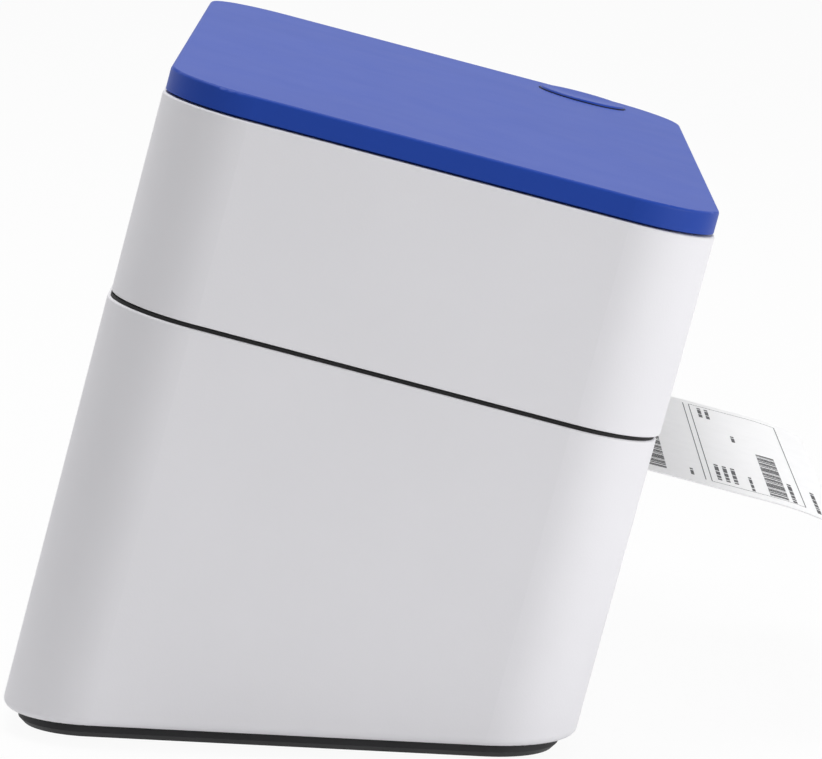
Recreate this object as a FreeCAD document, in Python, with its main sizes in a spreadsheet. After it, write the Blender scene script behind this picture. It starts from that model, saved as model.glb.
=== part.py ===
import FreeCAD, Part
import math
import operator
import os
import Sketcher
from types import SimpleNamespace

# Driving sizes in millimetres, angles in degrees and tooth counts.
# Levels are heights along the leaning axis of the case, from the table.
SIZES = {
    # Case and cover
    "width": 181.0,
    "depth": 100.0,
    "corner": 16.0,
    "tilt": 12.0,
    "stand_back": 24.25,
    "wall": 2.2,
    "case_bottom": 3.9,
    "bottom_round": 1.5,
    "seam_level": 70.0,
    "seam_gap": 0.8,
    "edge_round": 0.4,
    "cover_forward": 0.47,
    "cover_tall": 36.5,
    "top_wall": 2.4,
    "lid_gap": 0.45,
    "lid_thick": 4.1,
    "lid_inset": 0.35,
    "lid_round": 0.6,
    "plinth_inset": 2.5,
    # Base plate and feet
    "foot_out": 1.3,
    "foot_sunk": 1.0,
    "foot_r": 6.0,
    "foot_in": 28.5,
    "foot_end": 14.0,
    "plate_inset": 3.0,
    "plate_top": 6.0,
    "plate_chamfer": 1.0,
    "boss_r": 4.0,
    "boss_in": 10.5,
    "boss_end": 22.0,
    "boss_tall": 18.0,
    "rib_thick": 2.4,
    # Screws
    "screw_r": 1.5,
    "screw_long": 10.0,
    "head_r": 2.8,
    "head_tall": 1.8,
    "thread_gap": 0.05,
    "hole_gap": 0.25,
    # Hinge
    "hinge_x": 16.0,
    "hinge_in": 0.7,
    "knuckle_long": 8.4,
    "knuckle_gap": 0.3,
    "knuckle_r": 1.3,
    "knuckle_clear": 0.4,
    "hinge_pin_r": 0.6,
    "press_gap": 0.02,
    "run_gap": 0.06,
    # Label path
    "label_wide": 101.6,
    "label_thick": 0.2,
    "label_drop": 10.1,
    "label_tail": 12.5,
    "label_out": 26.0,
    "label_fall": 12.4,
    "label_curl": 60.0,
    "nip_gap": 0.3,
    "exit_over": 17.4,
    "exit_below": 1.0,
    "exit_above": 1.5,
    "tongue_gap": 0.5,
    "feed_over": 10.4,
    "feed_slot": 7.0,
    # Media deck
    "deck_below": 1.3,
    "deck_thick": 2.4,
    "deck_gap": 0.25,
    "rim_inset": 0.9,
    "rim_thick": 1.5,
    "rim_up": 1.0,
    "lip_in": 0.5,
    "lip_thick": 0.6,
    "ledge_long": 11.5,
    "ledge_wide": 10.0,
    "ledge_deep": 9.0,
    "ledge_end": 20.0,
    "rib_tall": 0.6,
    "rib_wide": 1.2,
    "rib_pitch": 15.0,
    "rib_count": 7,
    # Platen and gears
    "platen_r": 8.0,
    "platen_over": 6.4,
    "platen_in": 14.0,
    "platen_bay": 1.5,
    "shaft_r": 2.5,
    "plate_off": 4.6,
    "plate_thick": 1.6,
    "plate_low": 14.0,
    "plate_ahead": 9.5,
    "plate_rear": 15.0,
    "flange_wide": 9.0,
    "bush_r": 4.0,
    "bush_flange_r": 4.4,
    "bush_flange": 1.6,
    "bush_long": 3.0,
    "gear_module": 0.8,
    "gear_add": 0.8,
    "gear_ded": 1.15,
    "backlash": 0.12,
    "pressure_angle": 20.0,
    "platen_teeth": 20,
    "idler_small": 16,
    "idler_big": 32,
    "motor_teeth": 12,
    "idler_angle": -60.0,
    "motor_angle": -20.0,
    "gear_face": 6.0,
    "gear_gap": 0.7,
    "gear_stand": 2.2,
    "stud_r": 2.0,
    "clip_r": 3.2,
    "clip_thick": 1.0,
    "motor_r": 17.5,
    "motor_long": 22.0,
    "motor_flange": 1.0,
    "motor_ear": 21.0,
    "ear_wide": 9.0,
    "ear_over": 4.0,
    "pilot_r": 5.0,
    "motor_shaft_r": 1.5,
    "shaft_sunk": 5.0,
    # Media guides
    "guide_gap": 0.5,
    "guide_thick": 2.0,
    "guide_front": -6.0,
    "guide_end": 10.0,
    "guide_tall": 6.5,
    "guide_foot": 9.0,
    "guide_travel": 26.0,
    "slide_gap": 0.3,
    "rack_module": 1.0,
    "guide_teeth": 12,
    "guide_pinion_y": 17.0,
    "rack_thick": 3.0,
    "rack_back": 2.4,
    "rack_past": 9.0,
    "stem_long": 4.0,
    "pinion_boss_r": 2.2,
    # Boards, sockets and switch
    "board_thick": 1.6,
    "board_off": 6.0,
    "board_x": -12.0,
    "board_half": 50.0,
    "board_low": 12.0,
    "board_high": 48.0,
    "board_boss_r": 3.0,
    "board_boss_in": 4.5,
    "chip_half": 7.0,
    "chip_tall": 1.4,
    "small_chip_half": 4.0,
    "part_gap": 4.0,
    "can_r": 4.0,
    "can_tall": 11.0,
    "plug_long": 28.0,
    "plug_wide": 4.4,
    "plug_out": 4.0,
    "socket_level": 21.0,
    "power_x": -40.0,
    "power_half": 4.8,
    "power_tall": 5.5,
    "barrel_r": 5.0,
    "power_bore": 3.2,
    "power_pin": 1.0,
    "data_x": -12.0,
    "data_half": 6.0,
    "data_tall": 5.4,
    "data_wall": 0.9,
    "data_tongue": 1.6,
    "socket_gap": 0.4,
    "switch_x": 61.0,
    "switch_level": 24.0,
    "switch_half": 6.5,
    "switch_tall": 9.5,
    "switch_deep": 12.0,
    "bezel_over": 1.2,
    "bezel_thick": 1.4,
    "switch_wall": 1.3,
    "rocker_gap": 0.35,
    "pin_r": 1.0,
    "rocker_lean": 9.0,
    "rocker_out": 2.4,
    # Sensors
    "sensor_x": 18.0,
    "sensor_y": -4.0,
    "sensor_half": 4.0,
    "sensor_tall": 6.0,
    "flag_in": 18.5,
    "flag_y": 24.0,
    "flag_half": 3.0,
    "flag_thick": 1.6,
    "flag_slot": 4.0,
    "fork_wall": 2.6,
    "fork_tall": 8.0,
    "fork_floor": 2.0,
    # Cover frame and print head
    "frame_clear": 0.6,
    "frame_thick": 2.4,
    "frame_gap": 0.3,
    "frame_boss_in": 10.5,
    "frame_boss_front": -6.0,
    "frame_boss_end": 19.0,
    "bay_over": 6.2,
    "bay_in": 4.0,
    "bay_behind": 5.0,
    "hood_tall": 16.0,
    "hood_wall": 2.0,
    "rod_r": 2.0,
    "rod_behind": 20.0,
    "rod_up": 6.4,
    "eye_r": 4.2,
    "web_half": 3.6,
    "head_over": 2.2,
    "head_ahead": 8.5,
    "head_behind": 8.0,
    "head_base": 1.7,
    "glaze_out": 0.2,
    "glaze_half": 1.4,
    "carrier_thick": 4.0,
    "carrier_behind": 16.0,
    "fin_thick": 1.4,
    "fin_tall": 4.0,
    "fin_pitch": 4.2,
    "fin_count": 5,
    "plug_half": 31.8,
    "plug_deep": 6.5,
    "plug_tall": 1.3,
    "spring_x": 30.0,
    "spring_ahead": 1.5,
    "spring_r": 3.6,
    "wire_r": 0.45,
    "spring_turns": 6,
    "spring_room": 5.6,
    "tear_over": 3.2,
    "tear_thick": 0.8,
    "tear_tall": 5.0,
    "tear_out": 0.4,
    "tear_pitch": 2.0,
    "tear_tooth": 1.0,
    # Feed button
    "button_in": 13.2,
    "button_end": 20.6,
    "button_r": 8.9,
    "button_gap": 0.35,
    "button_proud": 0.55,
    "button_dish": 0.35,
    "dish_r": 7.12,
    "button_flange": 1.5,
    "button_flange_thick": 1.2,
    "button_play": 0.6,
    "button_travel": 0.8,
    "button_free": 0.1,
    "key_tall": 3.4,
    "key_half": 3.0,
    "key_r": 1.75,
    "key_out": 0.4,
    "key_board_left": 10.5,
    "key_board_right": 9.3,
    "key_board_ahead": 6.6,
    "key_board_behind": 16.4,
    "key_post_r": 2.0,
    "key_post_in": 3.0,
}

OPERATIONS = {
    "+": operator.add,
    "-": operator.sub,
    "*": operator.mul,
    "/": operator.truediv,
}
SMALL = 1e-6
COIL_STEPS = 24
NODES = []
CUTS = []
VECTOR = FreeCAD.Vector

doc = FreeCAD.newDocument("LabelPrinter")
sheet = doc.addObject("Spreadsheet::Sheet", "Sheet")
for row, (name, size) in enumerate(SIZES.items(), start=1):
    sheet.set("A%d" % row, name)
    sheet.set("B%d" % row, str(size))
    sheet.setAlias("B%d" % row, name)
doc.recompute()


class Dim:
    """A size: its number, and the sheet expression that gives it."""

    def __init__(self, value, text):
        self.value = value
        self.text = text

    def __add__(self, other):
        return combine(self, "+", other)

    def __radd__(self, other):
        return combine(other, "+", self)

    def __sub__(self, other):
        return combine(self, "-", other)

    def __rsub__(self, other):
        return combine(other, "-", self)

    def __mul__(self, other):
        return combine(self, "*", other)

    def __rmul__(self, other):
        return combine(other, "*", self)

    def __truediv__(self, other):
        return combine(self, "/", other)

    def __neg__(self):
        return combine(0, "-", self)


def dim(size):
    """A size as a Dim, also when it is a plain number."""
    if isinstance(size, Dim):
        return size
    return Dim(float(size), "(%r)" % float(size))


def combine(left, sign, right):
    """The Dim that a sum, difference, product or quotient gives."""
    left = dim(left)
    right = dim(right)
    value = OPERATIONS[sign](left.value, right.value)
    return Dim(value, "(%s %s %s)" % (left.text, sign, right.text))


def sin(angle):
    return Dim(math.sin(math.radians(angle.value)), "sin(%s)" % angle.text)


def cos(angle):
    return Dim(math.cos(math.radians(angle.value)), "cos(%s)" % angle.text)


def root(size):
    return Dim(math.sqrt(size.value), "sqrt(%s)" % size.text)


s = SimpleNamespace(**{name: Dim(float(sheet.get(name)), "Sheet." + name) for name in SIZES})

# Sizes that follow from the driving ones
half_w = s.width / 2
half_d = s.depth / 2
inner_w = half_w - s.wall
inner_d = half_d - s.wall
seam_low = s.seam_level - s.seam_gap / 2
seam_high = s.seam_level + s.seam_gap / 2
hinge_y = half_d - s.hinge_in
cover_y = -s.cover_forward
cover_front = cover_y - half_d
rim_top = s.seam_level + s.rim_up
frame_under = rim_top + s.frame_clear
frame_top = frame_under + s.frame_thick
hood_top = frame_top + s.hood_tall
hood_ceiling = hood_top - s.hood_wall
screw_hole = s.screw_r + s.thread_gap
pass_hole = s.screw_r + s.hole_gap
idler_off = s.gear_module * (s.platen_teeth + s.idler_small) / 2
motor_off = s.gear_module * (s.idler_big + s.motor_teeth) / 2
guide_x = s.label_wide / 2 + s.guide_gap
guide_pitch_r = s.rack_module * s.guide_teeth / 2
stem_x = guide_x + s.guide_thick
rod_z = frame_top + s.rod_up
board_rear = inner_d - s.board_off
board_front = board_rear - s.board_thick
table_half_d = half_d / cos(s.tilt)
foot_top = s.foot_out + s.foot_sunk
foot_x = half_w - s.foot_in
foot_y = half_d - s.foot_end
boss_x = half_w - s.boss_in
boss_y = half_d - s.boss_end
ledge_y = half_d - s.ledge_end
label_level = s.seam_level - s.label_drop
exit_floor = label_level - s.exit_below
tongue_end = label_level + s.exit_above
deck_top = label_level - s.deck_below
deck_under = deck_top - s.deck_thick
label_top = label_level + s.label_thick
platen_z = label_level - s.nip_gap - s.platen_r
idler_z = platen_z + idler_off * sin(s.idler_angle)
motor_z = idler_z + motor_off * sin(s.motor_angle)
rack_top = deck_under - s.slide_gap
rack_low = rack_top - s.rack_thick
head_under = label_top + s.nip_gap + s.glaze_out
head_top = head_under + s.head_base
carrier_top = head_top + s.carrier_thick
fin_top = carrier_top + s.fin_tall
label_flat = half_d + s.label_out
label_tip = label_flat + s.label_fall
exit_wide = s.label_wide + s.exit_over
feed_wide = s.label_wide + s.feed_over
platen_long = s.label_wide + s.platen_over
platen_y = s.platen_in - half_d
idler_y = platen_y + idler_off * cos(s.idler_angle)
motor_y = idler_y + motor_off * cos(s.motor_angle)
plate_x = platen_long / 2 + s.plate_off
plate_out = plate_x + s.plate_thick
gear_x = plate_out + s.gear_stand
gear_end = gear_x + s.gear_face
big_gear_x = gear_end + s.gear_gap
big_gear_end = big_gear_x + s.gear_face
plate_front = s.plate_ahead - platen_y
guide_rear = half_d - s.guide_end
flag_x = half_w - s.flag_in
frame_boss_x = half_w - s.frame_boss_in
frame_boss_rear = half_d - s.frame_boss_end
bay_half = s.label_wide / 2 + s.bay_over
bay_front = s.bay_in - half_d
rod_y = platen_y + s.rod_behind
bay_rear = rod_y + s.bay_behind
head_half = s.label_wide / 2 + s.head_over
head_front = platen_y - s.head_ahead
head_rear = platen_y + s.head_behind
carrier_rear = platen_y + s.carrier_behind
spring_y = platen_y - s.spring_ahead
tear_half = s.label_wide / 2 + s.tear_over
button_x = half_w - s.button_in
button_y = s.button_end - half_d
key_board_x = button_x - s.key_board_left
key_board_end = button_x + s.key_board_right
key_board_front = button_y - s.key_board_ahead
key_board_rear = button_y + s.key_board_behind
cover_top = seam_high + s.cover_tall
cover_ceiling = cover_top - s.top_wall
lid_under = cover_top + s.lid_gap
lid_top = lid_under + s.lid_thick
flange_top = cover_ceiling - s.button_play
flange_low = flange_top - s.button_flange_thick
key_end = flange_low - s.button_travel - s.button_free
key_board_top = key_end - s.key_out - s.key_tall


def bind(thing, prop, size):
    """Tie a property to the sheet."""
    thing.setExpression(prop, dim(size).text)


def keep(thing, label, leaning=True):
    """Name a finished sub-part and lean it with the case, unless it lies level on the table.

    A lone block or rod is grouped first, so that it keeps its own place under the lean."""
    if thing.TypeId in ("Part::Box", "Part::Cylinder"):
        thing = group([thing])
    thing.Label = label
    turn = FreeCAD.Rotation(VECTOR(1, 0, 0), s.tilt.value if leaning else 0)
    thing.Placement = FreeCAD.Placement(VECTOR(0, s.stand_back.value, 0), turn)
    bind(thing, "Placement.Base.y", s.stand_back)
    if leaning:
        bind(thing, "Placement.Rotation.Angle", s.tilt)
    NODES.append(thing)
    return thing


def new_body(label, leaning=True):
    return keep(doc.addObject("PartDesign::Body", label), label, leaning)


def pin_point(profile, edge, end, point):
    """Fix one end of a sketch edge at a place tied to the sheet."""
    for kind, size in zip(("DistanceX", "DistanceY"), point):
        fixed = Sketcher.Constraint(kind, -1, 1, edge, end, dim(size).value)
        index = profile.addConstraint(fixed)
        profile.setExpression("Constraints[%d]" % index, dim(size).text)


def set_radius(profile, edge, radius):
    index = profile.addConstraint(Sketcher.Constraint("Radius", edge, dim(radius).value))
    profile.setExpression("Constraints[%d]" % index, dim(radius).text)


def arc_between(first, last, radius, side):
    """The short arc between two points, with its centre to the left of the way, or right for side -1."""
    way = last - first
    reach = math.sqrt(radius * radius - way.Length * way.Length / 4)
    left = VECTOR(-way.y, way.x, 0) / way.Length
    centre = (first + last) / 2 + left * (reach * side)
    ends = (first, last) if side > 0 else (last, first)
    angles = [math.atan2(end.y - centre.y, end.x - centre.x) for end in ends]
    if angles[1] < angles[0]:
        angles[1] += 2 * math.pi
    circle_line = Part.Circle(centre, VECTOR(0, 0, 1), radius)
    return Part.ArcOfCircle(circle_line, angles[0], angles[1])


def outline(points, arcs=None):
    """A closed loop through points. arcs gives the radius and side of each edge that is an arc."""
    arcs = arcs or {}

    def draw(profile):
        base = profile.GeometryCount
        places = [VECTOR(dim(x).value, dim(y).value, 0) for x, y in points]
        count = len(points)
        backward = [index in arcs and arcs[index][1] < 0 for index in range(count)]
        for index in range(count):
            first = places[index]
            last = places[(index + 1) % count]
            if index in arcs:
                radius, side = arcs[index]
                profile.addGeometry(arc_between(first, last, dim(radius).value, side))
            else:
                profile.addGeometry(Part.LineSegment(first, last))
        for index in range(count):
            after = (index + 1) % count
            leave = 1 if backward[index] else 2
            enter = 2 if backward[after] else 1
            profile.addConstraint(Sketcher.Constraint("Coincident", base + index, leave, base + after, enter))
            pin_point(profile, base + after, enter, points[after])
            if index in arcs:
                set_radius(profile, base + index, arcs[index][0])

    return draw


def rect(x0, x1, y0, y1):
    return outline([(x0, y0), (x1, y0), (x1, y1), (x0, y1)])


def circle(x, y, radius):
    def draw(profile):
        centre = VECTOR(dim(x).value, dim(y).value, 0)
        edge = profile.addGeometry(Part.Circle(centre, VECTOR(0, 0, 1), dim(radius).value))
        pin_point(profile, edge, 3, (x, y))
        set_radius(profile, edge, radius)

    return draw


def rounded(x, y, half_x, half_y, radius):
    """A rectangle with round corners."""
    left = x - half_x
    right = x + half_x
    front = y - half_y
    rear = y + half_y
    points = [
        (left + radius, front),
        (right - radius, front),
        (right, front + radius),
        (right, rear - radius),
        (right - radius, rear),
        (left + radius, rear),
        (left, rear - radius),
        (left, front + radius),
    ]
    return outline(points, {index: (radius, 1) for index in (1, 3, 5, 7)})


def case_outline(inset, y=0):
    """The outline that the case, cover and lid share, moved inward by inset."""
    return rounded(0, y, half_w - inset, half_d - inset, s.corner - inset)


def new_profile(body, plane, start, loops, upright=False):
    """A sketch on one of the body's planes, moved by start along the plane's normal.

    An upright one is level with the table inside a body that leans."""
    profile = body.newObject("Sketcher::SketchObject", "Profile")
    for feature in body.Origin.OriginFeatures:
        if feature.Role == plane + "_Plane":
            profile.AttachmentSupport = [(feature, "")]
    profile.MapMode = "FlatFace"
    if upright:
        turn = FreeCAD.Rotation(VECTOR(1, 0, 0), -s.tilt.value)
        profile.AttachmentOffset = FreeCAD.Placement(VECTOR(0, 0, 0), turn)
        bind(profile, "AttachmentOffset.Rotation.Angle", -s.tilt)
        bind(profile, "AttachmentOffset.Base.y", start * sin(s.tilt))
        bind(profile, "AttachmentOffset.Base.z", start * cos(s.tilt))
    else:
        bind(profile, "AttachmentOffset.Base.z", start)
    for loop in loops:
        loop(profile)
    return profile


def add(body, plane, start, length, *loops, upright=False):
    """Grow the body along the plane's normal: +X from YZ, -Y from XZ, +Z from XY."""
    pad = body.newObject("PartDesign::Pad", "Pad")
    pad.Profile = new_profile(body, plane, start, loops, upright)
    bind(pad, "Length", length)
    body.Tip = pad


def remove(body, plane, start, length, *loops, upright=False):
    """Cut the body along the plane's normal. Its volume is compared before the files are written."""
    pocket = body.newObject("PartDesign::Pocket", "Pocket")
    pocket.Profile = new_profile(body, plane, start, loops, upright)
    pocket.Reversed = True
    bind(pocket, "Length", length)
    body.Tip = pocket
    CUTS.append(pocket)


def dress(body, kind, prop, size, chosen):
    """Fillet or chamfer the edges of the body that chosen picks."""
    doc.recompute()
    tip = body.Tip
    names = ["Edge%d" % (i + 1) for i, edge in enumerate(tip.Shape.Edges) if chosen(edge)]
    feature = body.newObject("PartDesign::" + kind, kind)
    feature.Base = (tip, names)
    bind(feature, prop, size)
    body.Tip = feature


def level_edge(level, *half_sizes):
    """Picks the edges at one level whose ends reach the outer outline."""

    def chosen(edge):
        box = edge.BoundBox
        flat = abs(box.ZMin - level.value) < SMALL and abs(box.ZMax - level.value) < SMALL
        return flat and edge_is_outer(box, half_sizes)

    return chosen


def edge_is_outer(box, half_sizes):
    """Whether an edge's box lies in the outer ring of a rounded outline."""
    half_x, half_y, centre_y, ring = [dim(size).value for size in half_sizes]
    far_x = max(abs(box.XMin), abs(box.XMax)) > half_x - ring
    far_y = max(abs(box.YMin - centre_y), abs(box.YMax - centre_y)) > half_y - ring
    return far_x or far_y


def block(low, high):
    """A box between two corners."""
    thing = doc.addObject("Part::Box", "Block")
    for prop, a, b in zip(("Length", "Width", "Height"), low, high):
        bind(thing, prop, b - a)
    for axis, a in zip("xyz", low):
        bind(thing, "Placement.Base." + axis, a)
    return thing


TURNS = {
    "x": FreeCAD.Rotation(VECTOR(0, 1, 0), 90),
    "y": FreeCAD.Rotation(VECTOR(1, 0, 0), -90),
    "z": FreeCAD.Rotation(),
}


def rod(axis, start, radius, length):
    """A round bar from a start point along +X, +Y or +Z."""
    thing = doc.addObject("Part::Cylinder", "Rod")
    thing.Placement = FreeCAD.Placement(VECTOR(0, 0, 0), TURNS[axis])
    bind(thing, "Radius", radius)
    bind(thing, "Height", length)
    for name, a in zip("xyz", start):
        bind(thing, "Placement.Base." + name, a)
    return thing


def fuse(*things):
    joined = doc.addObject("Part::MultiFuse", "Fuse")
    joined.Shapes = list(things)
    joined.Refine = True
    return joined


def cut(base, *tools):
    carved = doc.addObject("Part::Cut", "Cut")
    carved.Base = base
    carved.Tool = tools[0] if len(tools) == 1 else fuse(*tools)
    return carved


def group(things):
    gathered = doc.addObject("Part::Compound", "Group")
    gathered.Links = list(things)
    return gathered


def shaped(shape):
    """A sub-part whose shape is worked out here from the sheet's sizes."""
    thing = doc.addObject("Part::Feature", "Shaped")
    thing.Shape = shape
    return thing


def screw(axis, seat, toward, length=None):
    """A screw whose head seats at a point. toward is 1 where it points along +axis, otherwise -1."""
    length = length or s.screw_long
    index = "xyz".index(axis)
    head = list(seat)
    shank = list(seat)
    if toward > 0:
        head[index] = seat[index] - s.head_tall
    else:
        shank[index] = seat[index] - length
    return fuse(rod(axis, head, s.head_r, s.head_tall), rod(axis, shank, s.screw_r, length))


def hinge_spans():
    """Where the knuckles of the right hinge start: two of the case, then the cover's between them."""
    step = s.knuckle_long + s.knuckle_gap
    middle = s.hinge_x - s.knuckle_long / 2
    return [middle - step, middle + step], [middle]


def each_hinge(starts):
    """Knuckle starts on the right hinge and, mirrored, on the left one."""
    return starts + [-start - s.knuckle_long for start in starts]


def make_lower_case():
    body = new_body("lower_case")
    drop = half_d * sin(s.tilt) / cos(s.tilt)
    add(body, "XY", -drop, seam_low + drop, case_outline(0), case_outline(s.wall))
    # Level cut at the bottom of the leaning shell
    far = half_d + s.wall
    low = -drop - s.wall
    floor = [
        (-far, (s.case_bottom + far * sin(s.tilt)) / cos(s.tilt)),
        (far, (s.case_bottom - far * sin(s.tilt)) / cos(s.tilt)),
        (far, low - drop),
        (-far, low - drop),
    ]
    remove(body, "YZ", -half_w - s.wall, s.width + 2 * s.wall, outline(floor))
    dress(body, "Fillet", "Radius", s.bottom_round, on_case_bottom)
    dress(body, "Fillet", "Radius", s.edge_round, level_edge(seam_low, half_w, half_d, 0, s.wall / 2))
    # Upright bosses for the base plate's screws, tied to the side walls by ribs
    for side in (-1, 1):
        for end in (-1, 1):
            x = side * boss_x
            y = end * boss_y
            rib_end = side * (inner_w + s.wall / 2)
            rib = rect(x, rib_end, y - s.rib_thick / 2, y + s.rib_thick / 2)
            add(body, "XY", s.plate_top, s.boss_tall, rib, upright=True)
            add(body, "XY", s.plate_top, s.boss_tall, circle(x, y, s.boss_r), upright=True)
            remove(body, "XY", s.plate_top, s.screw_long, circle(x, y, screw_hole), upright=True)
            # Ledge under the media deck
            ledge_x = side * (inner_w - s.ledge_long)
            y = end * ledge_y
            ledge = rect(ledge_x, rib_end, y - s.ledge_wide / 2, y + s.ledge_wide / 2)
            add(body, "XY", deck_under - s.ledge_deep, s.ledge_deep, ledge)
            hole = circle(side * (inner_w - s.ledge_long / 2), y, screw_hole)
            remove(body, "XY", deck_under - s.ledge_deep, s.ledge_deep, hole)
    # Bosses for the main board on the rear wall
    for x, z in board_holes():
        add(body, "XZ", -inner_d - s.wall / 2, s.board_off + s.wall / 2, circle(x, z, s.board_boss_r))
        remove(body, "XZ", -inner_d, s.board_off, circle(x, z, screw_hole))
    # Exit notch in front, feed slot and sockets behind
    across = 2 * s.wall
    rear = -half_d - s.wall / 2
    half_exit = exit_wide / 2
    remove(body, "XZ", inner_d - s.wall / 2, across, rect(-half_exit, half_exit, exit_floor, s.seam_level))
    half_feed = feed_wide / 2
    remove(body, "XZ", rear, across, rect(-half_feed, half_feed, deck_top, deck_top + s.feed_slot))
    remove(body, "XZ", rear, across, circle(s.power_x, s.socket_level, s.barrel_r + s.socket_gap))
    wide = s.data_half + s.socket_gap
    tall = s.data_tall + s.socket_gap
    data = rect(s.data_x - wide, s.data_x + wide, s.socket_level - tall, s.socket_level + tall)
    remove(body, "XZ", rear, across, data)
    wide = s.switch_half + s.press_gap
    tall = s.switch_tall + s.press_gap
    switch = rect(s.switch_x - wide, s.switch_x + wide, s.switch_level - tall, s.switch_level + tall)
    remove(body, "XZ", rear, across, switch)
    # Hinge knuckles, with room for the cover's
    own, other = hinge_spans()
    room = s.knuckle_long + 2 * s.knuckle_gap
    for start in each_hinge(other):
        clear = circle(hinge_y, s.seam_level, s.knuckle_r + s.knuckle_clear)
        remove(body, "YZ", start - s.knuckle_gap, room, clear)
    for start in each_hinge(own):
        add(body, "YZ", start, s.knuckle_long, circle(hinge_y, s.seam_level, s.knuckle_r))
        remove(body, "YZ", start, s.knuckle_long, circle(hinge_y, s.seam_level, s.hinge_pin_r + s.press_gap))


def on_case_bottom(edge):
    """Picks the outer edge of the level bottom of the leaning case."""
    for point in (edge.valueAt(edge.FirstParameter), edge.valueAt(edge.LastParameter)):
        height = point.y * sin(s.tilt).value + point.z * cos(s.tilt).value
        if abs(height - s.case_bottom.value) > SMALL:
            return False
    box = edge.BoundBox
    return edge_is_outer(box, (half_w, half_d, 0, s.wall / 2))


def board_holes():
    """Centres of the main board's screws, as x and level."""
    reach = s.board_half - s.board_boss_in
    low = s.board_low + s.board_boss_in
    high = s.board_high - s.board_boss_in
    return [(s.board_x + side * reach, z) for side in (-1, 1) for z in (low, high)]


def make_base_plate():
    body = new_body("base_plate", leaning=False)
    y = -s.case_bottom * sin(s.tilt) / cos(s.tilt)
    half_x = half_w - s.plate_inset
    half_y = table_half_d - s.plate_inset
    shape = rounded(0, y, half_x, half_y, s.corner - s.plate_inset)
    add(body, "XY", s.foot_out, s.plate_top - s.foot_out, shape)
    dress(body, "Chamfer", "Size", s.plate_chamfer, level_edge(s.foot_out, half_x, half_y, y, s.wall))
    for side in (-1, 1):
        for end in (-1, 1):
            hole = (side * boss_x, end * boss_y)
            remove(body, "XY", s.foot_out, s.plate_top - s.foot_out, circle(*hole, pass_hole))
            remove(body, "XY", s.foot_out, s.head_tall + s.hole_gap, circle(*hole, s.head_r + s.hole_gap))
            foot = circle(side * foot_x, end * foot_y, s.foot_r + s.press_gap)
            remove(body, "XY", s.foot_out, s.foot_sunk, foot)


def make_feet_and_screws():
    feet = []
    case_screws = []
    deck_screws = []
    cover_screws = []
    for side in (-1, 1):
        for end in (-1, 1):
            feet.append(rod("z", (side * foot_x, end * foot_y, 0), s.foot_r, foot_top))
            seat = s.foot_out + s.head_tall + s.hole_gap
            case_screws.append(screw("z", (side * boss_x, end * boss_y, seat), 1))
            ledge_x = side * (inner_w - s.ledge_long / 2)
            deck_screws.append(screw("z", (ledge_x, end * ledge_y, deck_top), -1))
        for y in (s.frame_boss_front, frame_boss_rear):
            cover_screws.append(screw("z", (side * frame_boss_x, y, frame_under), 1))
    keep(group(feet), "rubber_feet", leaning=False)
    keep(group(case_screws), "case_screws", leaning=False)
    keep(group(deck_screws), "deck_screws")
    keep(group(cover_screws), "cover_screws")
    board_screws = [screw("y", (x, board_front, z), 1, s.board_off) for x, z in board_holes()]
    keep(group(board_screws), "board_screws")


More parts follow.
